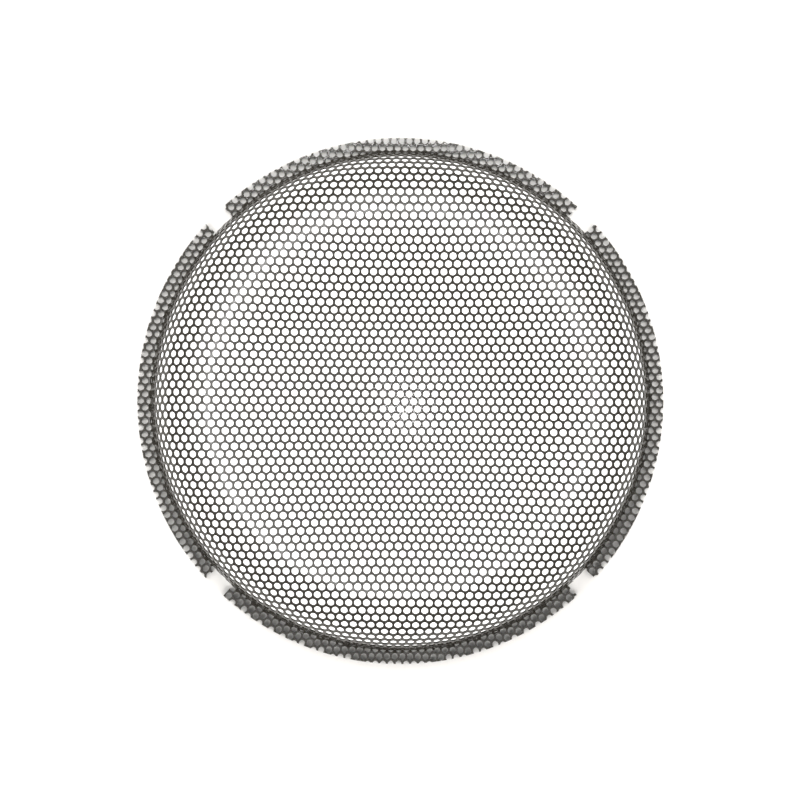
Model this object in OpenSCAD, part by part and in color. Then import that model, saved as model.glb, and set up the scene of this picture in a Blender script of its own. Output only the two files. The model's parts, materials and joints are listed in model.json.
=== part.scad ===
// Domed speaker grille for a tweeter: one pressed pan of perforated sheet steel.
// Front faces +Z. The flat flange rests on z = 0 and the axis of the dome is the Z axis.

/* [Sheet] */
// Thickness of the sheet
sheet_t = 0.15; // [0.1:0.05:0.3]

/* [Flange] */
// Diameter over the rim of the flange
flange_d = 54.4; // [54:0.1:58]
// Number of flange segments, with one gap between each two
segment_count = 4; // [3:1:6]
// Angle that each gap takes out of the flange, in degrees
gap_angle = 5.4; // [3:0.1:10]

/* [Dome] */
// Diameter of the dome where its wall meets the flange
dome_d = 51.7; // [50:0.1:52]
// Height from the back of the flange to the top of the crown
overall_h = 9.6; // [9:0.1:12]
// Radius of the gently crowned front
crown_r = 97; // [80:1:140]
// Radius of the wide curve that leads from the front down to the shoulder
brow_r = 10; // [7:0.5:14]
// Slope where the wide curve ends and the shoulder begins, in degrees
brow_slope = 38; // [25:1:50]
// Radius of the shoulder between the wide curve and the wall
shoulder_r = 5; // [4:0.1:6]
// Slope of the wall, measured from flat, in degrees
wall_slope = 82; // [78:1:86]
// Radius inside the bend from the wall out into the flange
bend_r = 0.3; // [0.2:0.05:0.5]

/* [Hidden] */

metal_colour = [0.22, 0.21, 0.2];
full_circle_steps = 96;
crown_steps = 10;
brow_steps = 8;
shoulder_steps = 10;
bend_steps = 8;
half_turn = 180;
segment_pitch = 360 / segment_count;
gap_margin = 1;
gap_rise = 0.05;

// A direction in the (r, z) half plane, turned from straight up towards the rim.
function toward(angle) = [sin(angle), cos(angle)];

wall_normal = toward(wall_slope);
wall_up = [-cos(wall_slope), sin(wall_slope)];

// Centre of the bend: bend_r above the flange and bend_r outside the wall.
bend_rise = bend_r * (1 - wall_normal[1]);
bend_centre = [
    dome_d / 2 + bend_r * wall_normal[0] - bend_rise / tan(wall_slope),
    sheet_t + bend_r
];
wall_foot = bend_centre - bend_r * wall_normal;

// Wall, shoulder, brow and crown each touch the next without a corner.
// The wall's length is halved in on until the brow just touches the crown.
halvings = 40;
crown_centre = [0, overall_h - crown_r];
function shoulder_at(length) = wall_foot + length * wall_up - shoulder_r * wall_normal;
function brow_at(length) = shoulder_at(length) - (brow_r - shoulder_r) * toward(brow_slope);
function crown_miss(length) = norm(brow_at(length) - crown_centre) - (crown_r - brow_r);
function wall_length(low, high, turns) =
    let (middle = (low + high) / 2)
    turns == 0 ? middle
    : crown_miss(middle) > 0 ? wall_length(low, middle, turns - 1)
    : wall_length(middle, high, turns - 1);
wall_l = wall_length(0, overall_h, halvings);
wall_top = wall_foot + wall_l * wall_up;
shoulder_centre = shoulder_at(wall_l);
brow_centre = brow_at(wall_l);
crown_slope = atan2(brow_centre[0], brow_centre[1] - crown_centre[1]);

// Points on an arc from one direction to another, without its first point.
function arc(centre, radius, from, to, steps) = [
    for (k = [1 : steps]) centre + radius * toward(from + (to - from) * k / steps)
];

// One skin of the sheet from the top of the dome to the start of the flange, depth below the front.
function pan_skin(depth) = concat(
    [crown_centre + (crown_r - depth) * toward(0)],
    arc(crown_centre, crown_r - depth, 0, crown_slope, crown_steps),
    arc(brow_centre, brow_r - depth, crown_slope, brow_slope, brow_steps),
    arc(shoulder_centre, shoulder_r - depth, brow_slope, wall_slope, shoulder_steps),
    [wall_foot - depth * wall_normal],
    arc(bend_centre, bend_r + depth, half_turn + wall_slope, half_turn, bend_steps)
);

function reversed(points) = [for (k = [len(points) - 1 : -1 : 0]) points[k]];

// Half of the pressed sheet, cut through the axis of the dome.
module pan_section() {
    rim = [[flange_d / 2, sheet_t], [flange_d / 2, 0]];
    polygon(concat(pan_skin(0), rim, reversed(pan_skin(sheet_t))));
}

// What one gap takes away: the flange and its bend, up to gap_rise above the foot of the wall.
module gap() {
    inner_r = dome_d / 2 - gap_margin;
    outer_r = flange_d / 2 + gap_margin;
    rotate(-gap_angle / 2)
        rotate_extrude(angle = gap_angle, $fn = full_circle_steps)
            translate([inner_r, -gap_margin])
                square([outer_r - inner_r, wall_foot[1] + gap_rise + gap_margin]);
}

// The pressed pan: a whole dome, and a flange that is parted at each gap.
module grille() {
    color(metal_colour)
        difference() {
            rotate_extrude($fn = full_circle_steps) pan_section();
            for (k = [0 : segment_count - 1])
                rotate((k + 0.5) * segment_pitch) gap();
        }
}

grille();
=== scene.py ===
import json
import math

import bmesh
import bpy
from mathutils import Matrix, Vector


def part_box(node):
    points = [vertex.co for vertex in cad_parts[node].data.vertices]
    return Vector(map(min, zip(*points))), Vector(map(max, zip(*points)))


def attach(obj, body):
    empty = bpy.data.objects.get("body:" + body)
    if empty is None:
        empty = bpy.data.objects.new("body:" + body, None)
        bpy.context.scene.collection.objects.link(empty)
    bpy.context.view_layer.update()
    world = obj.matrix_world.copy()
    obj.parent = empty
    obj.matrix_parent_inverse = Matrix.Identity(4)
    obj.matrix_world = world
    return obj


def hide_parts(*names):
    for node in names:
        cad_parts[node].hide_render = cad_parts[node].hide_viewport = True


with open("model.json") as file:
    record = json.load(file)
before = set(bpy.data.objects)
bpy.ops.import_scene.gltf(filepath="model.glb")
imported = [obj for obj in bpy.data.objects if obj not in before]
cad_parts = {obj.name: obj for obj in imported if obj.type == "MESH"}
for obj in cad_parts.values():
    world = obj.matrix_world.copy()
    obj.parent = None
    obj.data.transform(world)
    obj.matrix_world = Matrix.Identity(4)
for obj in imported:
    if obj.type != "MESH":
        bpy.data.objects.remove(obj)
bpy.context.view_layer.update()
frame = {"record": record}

# A domed tweeter grille: one pan pressed from flat sheet steel with fine hexagon holes.
# The holes are laid out on the flat blank first. The blank is trimmed to the rim and the
# four gaps, and is then drawn over the pan's profile, which stretches the pattern.

MM = 0.001

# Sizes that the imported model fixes.
MOUNTS = {mount["name"]: mount for mount in frame["record"]["mounts"]}
RIM_R = MOUNTS["rim"]["dims"]["r_mm"] * MM
SHEET_T = MOUNTS["flange_front"]["pos_m"][2]
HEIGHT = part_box("grille")[1].z

# Profile of the front of the pan, from the crown down and out to the rim, as in the CAD model.
DOME_R = 25.85 * MM
CROWN_R = 97 * MM
BROW_R = 10 * MM
BROW_SLOPE = math.radians(38)
SHOULDER_R = 5 * MM
WALL_SLOPE = math.radians(82)
BEND_R = 0.3 * MM

# The four gaps in the flange.
GAP_COUNT = 4
GAP_ANGLE = math.radians(5.4)

# The hole pattern on the flat blank. Lengths on the blank are counted in pitches.
PITCH = 0.9 * MM
BAR_WIDTH = 0.265
HEXAGON_TURN = math.radians(60)
CORNER_HALF_ANGLE = math.radians(12)
PATTERN_TURN = math.radians(-0.345)
PATTERN_SHIFT = Vector((0.366, 0.002))
ROW_RISE = math.sqrt(3) / 2

# The sheet slipped a little to one side, in pitches, as the press formed the shoulder and wall.
SLIP = Vector((0.10, -0.16))
SLIP_START = 27
SLIP_END = 32

# The middle of the sheet slipped too, in pitches, and less and less further out.
MIDDLE_SLIP = Vector((0.146, -0.06))
MIDDLE_WIDTH = 6.9

# How far the press stretches the sheet along the profile, at a distance from the blank's centre.
STRETCH_BASE = 0.9819
STRETCH_SWELL = 0.1246
STRETCH_PEAK = 22.295
STRETCH_WIDTH = 8.796

# The blank is this much wider than the rim before it is trimmed, in pitches.
BLANK_MARGIN = 1.5

# A cut may cross the faces whose middles are nearer to it than this, in pitches.
CUT_REACH = 1.5

# Corners nearer to a cut than this are eased away from it first, in pitches.
CUT_MARGIN = 0.03

# Edges that turn by more than this are sharp.
SHARP_ANGLE = math.radians(50)

# How often halve() halves its range.
HALVINGS = 60


# ---------------------------------------------------------------- profile of the pan

def toward(slope):
    """The direction of an outward normal in the (r, z) half plane, by the slope of the surface."""
    return Vector((math.sin(slope), math.cos(slope)))


def arc(centre, radius, start, end):
    """A round stretch of the profile: its length, and what gives its point and slope at a distance."""
    length = abs(radius * (end - start))

    def at(distance):
        slope = start + (end - start) * distance / length
        return centre + radius * toward(slope), slope

    return length, at


def straight(start, direction, length, slope):
    """A straight stretch of the profile."""
    return length, lambda distance: (start + direction * distance, slope)


def profile_stretches():
    """The middle of the sheet as six stretches: crown, brow, shoulder, wall, bend and flange."""
    half_t = SHEET_T / 2
    normal = toward(WALL_SLOPE)
    up = Vector((-math.cos(WALL_SLOPE), math.sin(WALL_SLOPE)))
    bend_rise = BEND_R * (1 - normal.y)
    bend_r = DOME_R + BEND_R * normal.x - bend_rise / math.tan(WALL_SLOPE)
    bend_centre = Vector((bend_r, SHEET_T + BEND_R))
    foot = bend_centre - BEND_R * normal
    crown_centre = Vector((0, HEIGHT - CROWN_R))

    def shoulder_at(wall):
        return foot + wall * up - SHOULDER_R * normal

    def brow_at(wall):
        return shoulder_at(wall) - (BROW_R - SHOULDER_R) * toward(BROW_SLOPE)

    wall = halve(lambda wall: (brow_at(wall) - crown_centre).length - (CROWN_R - BROW_R), 0, HEIGHT)
    brow_centre = brow_at(wall)
    crown_slope = math.atan2(brow_centre.x, brow_centre.y - crown_centre.y)
    flange_start = Vector((bend_centre.x, half_t))
    return [
        arc(crown_centre, CROWN_R - half_t, 0, crown_slope),
        arc(brow_centre, BROW_R - half_t, crown_slope, BROW_SLOPE),
        arc(shoulder_at(wall), SHOULDER_R - half_t, BROW_SLOPE, WALL_SLOPE),
        straight(foot + wall * up - half_t * normal, -up, wall, WALL_SLOPE),
        arc(bend_centre, -(BEND_R + half_t), WALL_SLOPE, 0),
        straight(flange_start, Vector((1, 0)), RIM_R - flange_start.x, 0),
    ]


def halve(miss, low, high):
    """The value between low and high where miss, which rises, is zero."""
    for _ in range(HALVINGS):
        middle = (low + high) / 2
        if miss(middle) > 0:
            high = middle
        else:
            low = middle
    return (low + high) / 2


STRETCHES = profile_stretches()
PROFILE_LENGTH = sum(length for length, _ in STRETCHES)
BEND_START = sum(length for length, _ in STRETCHES[:4])
BEND_LENGTH = STRETCHES[4][0]


def profile_at(distance):
    """The point and slope of the middle of the sheet, at a distance along it from the axis."""
    for length, at in STRETCHES[:-1]:
        if distance <= length:
            return at(distance)
        distance -= length
    return STRETCHES[-1][1](distance)


def stretch(reach):
    """How much the press stretches the sheet along the profile, at a distance on the blank."""
    return STRETCH_BASE + STRETCH_SWELL * math.exp(-((reach - STRETCH_PEAK) / STRETCH_WIDTH) ** 2)


def drawn_length(reach):
    """How far along the pressed profile a point of the blank ends up, in metres."""
    swell = math.erf((reach - STRETCH_PEAK) / STRETCH_WIDTH) + math.erf(STRETCH_PEAK / STRETCH_WIDTH)
    swell *= STRETCH_SWELL * STRETCH_WIDTH * math.sqrt(math.pi) / 2
    return PITCH * (STRETCH_BASE * reach + swell)


def blank_reach(distance):
    """The distance from the blank's centre, in pitches, that ends up this far along the profile."""
    return halve(lambda reach: drawn_length(reach) - distance, 0, 2 * distance / PITCH)


RIM_REACH = blank_reach(PROFILE_LENGTH)
FOOT_REACH = blank_reach(BEND_START)


def press(point, side):
    """Where a point of the blank ends up on the front skin (side 1) or back skin (side -1)."""
    reach = point.length
    (r, z), slope = profile_at(drawn_length(reach))
    r += side * SHEET_T / 2 * math.sin(slope)
    z += side * SHEET_T / 2 * math.cos(slope)
    return (r * point.x / reach, r * point.y / reach, z)


# ---------------------------------------------------------------- perforated blank

def hole_corner(corner, half):
    """One of the twelve points of a hole that is 1 across: a rounded hexagon has two to a corner."""
    angle = (corner + 0.5) * HEXAGON_TURN + half * CORNER_HALF_ANGLE
    radius = 0.5 / math.cos(HEXAGON_TURN / 2 - CORNER_HALF_ANGLE)
    return Vector((radius * math.cos(angle), radius * math.sin(angle)))


def hole_across(reach):
    """A hole's size on the blank. The bars keep their width where the press stretches the sheet."""
    return 1 - BAR_WIDTH / stretch(reach)


def smooth_share(value, start, end):
    """0 before start and 1 after end, with an even rise between them."""
    share = min(max((value - start) / (end - start), 0), 1)
    return share * share * (3 - 2 * share)


def slip(reach):
    """How far the pattern lies off its even layout, at a distance from the blank's centre."""
    middle = MIDDLE_SLIP * math.exp(-(reach / MIDDLE_WIDTH) ** 2)
    return middle + SLIP * smooth_share(reach, SLIP_START, SLIP_END)


# Steps in columns and rows from a hole to four of its neighbours, each 60 degrees further round.
WAYS = [(1, 0), (0, 1), (-1, 1), (-1, 0)]


def perforated_blank():
    """A flat mesh of the bars and knots between the holes, wider than the rim all round."""
    turn = Matrix.Rotation(PATTERN_TURN, 2)
    shape = [hole_corner(corner, half) for corner in range(6) for half in (-1, 1)]
    reach = math.ceil(RIM_REACH + BLANK_MARGIN)
    rows = math.ceil(reach / ROW_RISE)
    mesh = bmesh.new()
    cells = {}
    for j in range(-rows, rows + 1):
        for i in range(-2 * reach, 2 * reach + 1):
            centre = turn @ (PATTERN_SHIFT + Vector((i + j / 2, j * ROW_RISE)))
            centre += slip(centre.length)
            if centre.length < RIM_REACH + BLANK_MARGIN:
                across = hole_across(centre.length)
                ring = [centre + across * (turn @ point) for point in shape]
                cells[i, j] = [mesh.verts.new((*point, 0)) for point in ring]
    for (i, j), cell in cells.items():
        near = [cells.get((i + columns, j + rows_up)) for columns, rows_up in WAYS]
        for k in range(3):
            if near[k]:
                add_bar(mesh, cell, near[k], k)
        for k in range(2):
            if near[k] and near[k + 1]:
                add_knot(mesh, cell, near[k], near[k + 1], k)
    return mesh


def rim_point(cell, corner, half):
    """The vertex of a hole at a corner, before (0) or after (1) the corner's middle."""
    return cell[(2 * corner + half) % len(cell)]


def add_bar(mesh, cell, other, k):
    """The bar between a hole and its neighbour in direction k."""
    mesh.faces.new((
        rim_point(cell, k - 1, 1), rim_point(other, k + 3, 0),
        rim_point(other, k + 2, 1), rim_point(cell, k, 0),
    ))


def add_knot(mesh, cell, second, third, k):
    """The knot where a hole meets its neighbours in directions k and k + 1."""
    mesh.faces.new((
        rim_point(cell, k, 1), rim_point(cell, k, 0),
        rim_point(second, k + 2, 1), rim_point(second, k + 2, 0),
        rim_point(third, k + 4, 1), rim_point(third, k + 4, 0),
    ))


def cut(mesh, faces, offset, normal):
    """Splits faces along the line where offset(point) is zero, after easing close points off it."""
    verts = {vert for face in faces for vert in face.verts}
    for vert in verts:
        miss = offset(vert.co)
        if abs(miss) < CUT_MARGIN:
            vert.co += normal(vert.co) * (math.copysign(CUT_MARGIN, miss) - miss)
    crossed = {edge for face in faces for edge in face.edges
               if offset(edge.verts[0].co) * offset(edge.verts[1].co) < 0}
    new = set()
    for edge in sorted(crossed, key=lambda edge: edge.index):
        a, b = (vert.co.copy() for vert in edge.verts)
        share = halve(lambda share: offset(a.lerp(b, share)) * (1 if offset(b) > 0 else -1), 0, 1)
        new.add(bmesh.utils.edge_split(edge, edge.verts[0], share)[1])
    for face in faces:
        ends = [vert for vert in face.verts if vert in new]
        if len(ends) == 2:
            bmesh.utils.face_split(face, *ends)


def ring_cut(mesh, reach):
    """Cuts the blank along a circle."""
    near = [face for face in mesh.faces
            if abs(face.calc_center_median().length - reach) < CUT_REACH]
    number(mesh)
    cut(mesh, near, lambda point: point.length - reach, lambda point: point.normalized())


def number(mesh):
    """Gives vertices, edges and faces their indices in order."""
    mesh.verts.index_update()
    mesh.edges.index_update()
    mesh.faces.index_update()


def drop(mesh, unwanted):
    """Deletes the faces that unwanted picks by their middle, and what only they held."""
    faces = [face for face in mesh.faces if unwanted(face.calc_center_median())]
    bmesh.ops.delete(mesh, geom=faces, context="FACES")


def gap_offset(point, angle):
    """How far a point lies to the left of the line from the axis in a direction."""
    return point.y * math.cos(angle) - point.x * math.sin(angle)


def cut_gaps(mesh):
    """Takes the four gaps out of the flange and its bend."""
    gap_middles = [(k + 0.5) * math.tau / GAP_COUNT for k in range(GAP_COUNT)]
    for middle in gap_middles:
        for angle in (middle - GAP_ANGLE / 2, middle + GAP_ANGLE / 2):
            along = Vector((math.cos(angle), math.sin(angle), 0))
            across = Vector((-along.y, along.x, 0))
            near = [face for face in mesh.faces
                    if face.calc_center_median().length > FOOT_REACH
                    and face.calc_center_median().dot(along) > 0
                    and abs(gap_offset(face.calc_center_median(), angle)) < CUT_REACH]
            number(mesh)
            cut(mesh, near, lambda point: gap_offset(point, angle), lambda point: across)

    def in_gap(point):
        if point.length < FOOT_REACH:
            return False
        angle = math.atan2(point.y, point.x)
        turns = [math.remainder(angle - middle, math.tau) for middle in gap_middles]
        return min(abs(turn) for turn in turns) < GAP_ANGLE / 2

    drop(mesh, in_gap)


def drop_loose_bits(mesh):
    """Keeps only what hangs together with the middle of the sheet."""
    start = min(mesh.verts, key=lambda vert: vert.co.length)
    held = {start}
    to_visit = [start]
    while to_visit:
        vert = to_visit.pop()
        for edge in vert.link_edges:
            other = edge.other_vert(vert)
            if other not in held:
                held.add(other)
                to_visit.append(other)
    loose = [vert for vert in mesh.verts if vert not in held]
    bmesh.ops.delete(mesh, geom=loose, context="VERTS")


def trimmed_blank():
    """The perforated blank, trimmed to the rim and the gaps and creased for the bend."""
    mesh = perforated_blank()
    ring_cut(mesh, RIM_REACH)
    drop(mesh, lambda point: point.length > RIM_REACH)
    for share in (0, 0.5, 1):
        ring_cut(mesh, blank_reach(BEND_START + share * BEND_LENGTH))
    cut_gaps(mesh)
    drop_loose_bits(mesh)
    return mesh


def pressed_mesh(name):
    """The trimmed blank drawn over the pan's profile and given the sheet's thickness."""
    blank = trimmed_blank()
    number(blank)
    flat = [vert.co.xy for vert in blank.verts]
    count = len(flat)
    points = [press(point, side) for side in (1, -1) for point in flat]
    front = [[vert.index for vert in face.verts] for face in blank.faces]
    back = [[index + count for index in reversed(face)] for face in front]
    walls = []
    for edge in blank.edges:
        if edge.is_boundary:
            loop = edge.link_loops[0]
            a, b = loop.vert.index, loop.link_loop_next.vert.index
            walls.append([b, a, a + count, b + count])
    blank.free()
    mesh = bpy.data.meshes.new(name)
    mesh.from_pydata(points, [], front + back + walls)
    mesh.polygons.foreach_set("use_smooth", [True] * len(mesh.polygons))
    mesh.set_sharp_from_angle(angle=SHARP_ANGLE)
    mesh.update()
    return mesh


# ---------------------------------------------------------------- material

COAT_DARK = (0.040, 0.036, 0.029, 1)
COAT_LIGHT = (0.055, 0.050, 0.041, 1)
COAT_SPECULAR = 0.5
COAT_ROUGHNESS = (0.14, 0.20)

# Noise scales, per metre, and how finely each noise is detailed.
MOTTLE = (600, 3)
SHEEN_PATCHES = (2500, 2)
ORANGE_PEEL = (12000, 2)
ORANGE_PEEL_STRENGTH = 0.15
ORANGE_PEEL_DEPTH = 0.01 * MM

# Most of a noise's values lie in this range, which a ramp spreads out.
NOISE_RANGE = (0.3, 0.7)

FLOOR_WHITE = (0.9, 0.9, 0.9, 1)
FLOOR_ROUGHNESS = 0.9
FLOOR_SPECULAR = 0.1
BACKDROP_GLOW = 0.9


def grille_metal():
    """Dark satin coat on steel: warm grey, faintly mottled, with a fine orange peel."""
    material = bpy.data.materials.new("grille_metal")
    material.use_nodes = True
    nodes, links = material.node_tree.nodes, material.node_tree.links
    shader = nodes["Principled BSDF"]
    shader.inputs["Metallic"].default_value = 0.0
    shader.inputs["Specular IOR Level"].default_value = COAT_SPECULAR
    coords = nodes.new("ShaderNodeTexCoord")

    def noise(scale, detail):
        node = nodes.new("ShaderNodeTexNoise")
        node.inputs["Scale"].default_value = scale
        node.inputs["Detail"].default_value = detail
        links.new(coords.outputs["Object"], node.inputs["Vector"])
        return node.outputs["Fac"]

    def ramp(source, low, high):
        node = nodes.new("ShaderNodeMapRange")
        node.inputs["To Min"].default_value = low
        node.inputs["To Max"].default_value = high
        node.inputs["From Min"].default_value = NOISE_RANGE[0]
        node.inputs["From Max"].default_value = NOISE_RANGE[1]
        links.new(source, node.inputs["Value"])
        return node.outputs["Result"]

    tint = nodes.new("ShaderNodeMix")
    tint.data_type = "RGBA"
    tint.inputs["A"].default_value = COAT_DARK
    tint.inputs["B"].default_value = COAT_LIGHT
    links.new(ramp(noise(*MOTTLE), 0, 1), tint.inputs["Factor"])
    links.new(tint.outputs["Result"], shader.inputs["Base Color"])
    links.new(ramp(noise(*SHEEN_PATCHES), *COAT_ROUGHNESS), shader.inputs["Roughness"])
    bump = nodes.new("ShaderNodeBump")
    bump.inputs["Strength"].default_value = ORANGE_PEEL_STRENGTH
    bump.inputs["Distance"].default_value = ORANGE_PEEL_DEPTH
    links.new(noise(*ORANGE_PEEL), bump.inputs["Height"])
    links.new(bump.outputs["Normal"], shader.inputs["Normal"])
    return material


def floor_material():
    """Plain matt white."""
    material = bpy.data.materials.new("floor_white")
    material.use_nodes = True
    shader = material.node_tree.nodes["Principled BSDF"]
    shader.inputs["Base Color"].default_value = FLOOR_WHITE
    shader.inputs["Roughness"].default_value = FLOOR_ROUGHNESS
    shader.inputs["Specular IOR Level"].default_value = FLOOR_SPECULAR
    return material


def backdrop_material():
    """Even pale white that no lamp changes."""
    material = bpy.data.materials.new("backdrop_white")
    material.use_nodes = True
    shader = material.node_tree.nodes["Principled BSDF"]
    shader.inputs["Base Color"].default_value = (0, 0, 0, 1)
    shader.inputs["Specular IOR Level"].default_value = 0.0
    shader.inputs["Emission Color"].default_value = (1, 1, 1, 1)
    shader.inputs["Emission Strength"].default_value = BACKDROP_GLOW
    return material


# ---------------------------------------------------------------- object

def add(name, data):
    """A new object in the scene."""
    obj = bpy.data.objects.new(name, data)
    bpy.context.scene.collection.objects.link(obj)
    return obj


def build_grille():
    """The perforated pan, which stands for the solid one."""
    grille = add("grille_mesh", pressed_mesh("grille_mesh"))
    grille.data.materials.append(grille_metal())
    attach(grille, "root")
    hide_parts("grille")
    return grille


# ---------------------------------------------------------------- studio

STUDIO_R = 1.2
STUDIO_HEIGHT = 1.0
STUDIO_SIDES = 96
FLOOR_DROP = 0.02 * MM


def studio_ring(z):
    """Points round the edge of the studio at a height."""
    turns = [math.tau * k / STUDIO_SIDES for k in range(STUDIO_SIDES)]
    return [(STUDIO_R * math.cos(turn), STUDIO_R * math.sin(turn), z) for turn in turns]


def build_floor():
    """A round floor that ends under the low lamps, a hair below the object."""
    mesh = bpy.data.meshes.new("floor")
    mesh.from_pydata(studio_ring(0), [], [list(range(STUDIO_SIDES))])
    mesh.materials.append(floor_material())
    floor = add("floor", mesh)
    floor.location.z = -FLOOR_DROP
    return floor


def build_backdrop():
    """A pale wall round the floor, for views from the side. It is seen, but gives no light."""
    faces = []
    for k in range(STUDIO_SIDES):
        after = (k + 1) % STUDIO_SIDES
        faces.append((k, after, after + STUDIO_SIDES, k + STUDIO_SIDES))
    mesh = bpy.data.meshes.new("backdrop")
    mesh.from_pydata(studio_ring(-STUDIO_HEIGHT) + studio_ring(STUDIO_HEIGHT), [], faces)
    mesh.materials.append(backdrop_material())
    backdrop = add("backdrop", mesh)
    backdrop.visible_diffuse = False
    backdrop.visible_glossy = False
    backdrop.visible_transmission = False
    backdrop.visible_shadow = False


LAMP_DISTANCE = 1.2
RING_COUNT = 16
FLOOR_TINT = (1, 0.975, 0.94)
SPOT_R = 0.01
SPOT_BLEND = 0.3
UNDER_DOME_WIDTH = 50.6 * MM
UNDER_DOME_HEIGHT = 0.2 * MM
UNDER_DOME_GLOW = 0.8
WORLD_GLOW = 0.06


def lamp(name, place, size, glow):
    """A flat soft light that faces the origin: its width and height, and how bright its face is."""
    width, height = size
    data = bpy.data.lights.new(name, "AREA")
    data.shape = "RECTANGLE"
    data.size = width
    data.size_y = height
    data.energy = glow * math.pi * width * height
    obj = add(name, data)
    obj.location = place
    obj.rotation_euler = Vector(place).to_track_quat("Z", "Y").to_euler()
    return obj


def round_lamp(name, place, width, glow):
    """A round light that faces the origin."""
    obj = lamp(name, place, (width, width), glow)
    obj.data.shape = "DISK"
    return obj


def off_axis(tilt, turn):
    """A lamp's place, tilted off the Z axis in the direction of turn, both in degrees."""
    tilt, turn = math.radians(tilt), math.radians(turn)
    ahead = Vector((math.sin(tilt) * math.cos(turn), math.sin(tilt) * math.sin(turn), math.cos(tilt)))
    return LAMP_DISTANCE * ahead


def ring_of_lamps(name, tilt, height, glow, lean, lean_turn):
    """Flat lights side by side round the axis, brighter towards lean_turn by the share lean."""
    width = 2 * LAMP_DISTANCE * math.sin(math.radians(tilt)) * math.tan(math.pi / RING_COUNT)
    lamps = []
    for k in range(RING_COUNT):
        turn = 360 * k / RING_COUNT
        share = 1 + lean * math.cos(math.radians(turn - lean_turn))
        part = lamp(f"{name}_{k}", off_axis(tilt, turn), (height, width), glow * share)
        across = Vector((-math.sin(math.radians(turn)), math.cos(math.radians(turn)), 0))
        away = part.location.normalized()
        part.rotation_euler = Matrix((across.cross(away), across, away)).transposed().to_euler()
        lamps.append(part)
    return lamps


def light_only(receiver, lamps):
    """Makes lamps light one object only."""
    group = bpy.data.collections.new("lit_" + receiver.name)
    group.objects.link(receiver)
    for part in lamps:
        part.light_linking.receiver_collection = group


def spot(name, place, aim, reach, power):
    """A narrow light that reaches only what lies within reach of aim."""
    data = bpy.data.lights.new(name, "SPOT")
    data.shadow_soft_size = SPOT_R
    data.energy = power
    data.spot_size = 2 * math.atan(reach / LAMP_DISTANCE)
    data.spot_blend = SPOT_BLEND
    obj = add(name, data)
    obj.location = place
    obj.rotation_euler = (obj.location - aim).to_track_quat("Z", "Y").to_euler()
    return obj


def grille_lamps():
    """Soft light from above: a broad lamp, two rings, and a spot each for the glint and the flange."""
    crown = Vector((0, 0, HEIGHT))
    flange_top = Vector((0, RIM_R, 0))
    overhead = round_lamp("overhead", off_axis(11, -115), width=0.95, glow=0.9)
    glint = spot("glint", off_axis(1.3, -50), crown, reach=14 * MM, power=1.3)
    top = spot("flange_spot", off_axis(3.6, 90), flange_top, reach=21 * MM, power=0.9)
    inner = ring_of_lamps("inner_ring", tilt=29, height=0.07, glow=12.0, lean=0.45, lean_turn=135)
    outer = ring_of_lamps("outer_ring", tilt=43, height=0.30, glow=1.7, lean=1.0, lean_turn=100)
    return [overhead, glint, top, *inner, *outer]


def floor_lamps():
    """Low light all round and one lamp from the back, so the floor is white and darker in the holes."""
    low = ring_of_lamps("low_ring", tilt=73, height=0.35, glow=8.3, lean=-0.3, lean_turn=100)
    back = lamp("back", off_axis(42, 95), size=(0.5, 0.5), glow=12.0)
    for part in (*low, back):
        part.data.color = FLOOR_TINT
    return [*low, back]


def under_dome_lamp():
    """A round lamp that fills the dome's foot, so the floor seen through the dome is white."""
    data = bpy.data.lights.new("under_dome", "AREA")
    data.shape = "DISK"
    data.size = UNDER_DOME_WIDTH
    data.energy = UNDER_DOME_GLOW * math.pi * data.size ** 2
    obj = add("under_dome", data)
    obj.location.z = UNDER_DOME_HEIGHT
    obj.rotation_euler = (math.pi, 0, 0)
    obj.visible_camera = True


def build_lights(grille, floor):
    """The lamps, and a faint even glow from all round."""
    scene = bpy.context.scene
    scene.view_settings.view_transform = "Standard"
    world = bpy.data.worlds.new("studio")
    scene.world = world
    world.use_nodes = True
    background = world.node_tree.nodes["Background"]
    background.inputs["Color"].default_value = (1, 1, 1, 1)
    background.inputs["Strength"].default_value = WORLD_GLOW
    light_only(grille, grille_lamps())
    light_only(floor, floor_lamps())
    under_dome_lamp()


# The camera looks straight down at the front of the grille.
CAMERA_PLACE = (-0.032 * MM, 0.11 * MM, 0.6)
CAMERA_LENS = 261
CAMERA_SENSOR = 36
CAMERA_CLIP = (0.01, 20)


def build_camera():
    """The camera, above the dome and a hair off its axis, as the grille lies in the photo."""
    data = bpy.data.cameras.new("camera")
    data.sensor_width = CAMERA_SENSOR
    data.lens = CAMERA_LENS
    data.clip_start, data.clip_end = CAMERA_CLIP
    camera = add("camera", data)
    camera.location = CAMERA_PLACE
    bpy.context.scene.camera = camera


build_camera()
build_lights(build_grille(), build_floor())
build_backdrop()
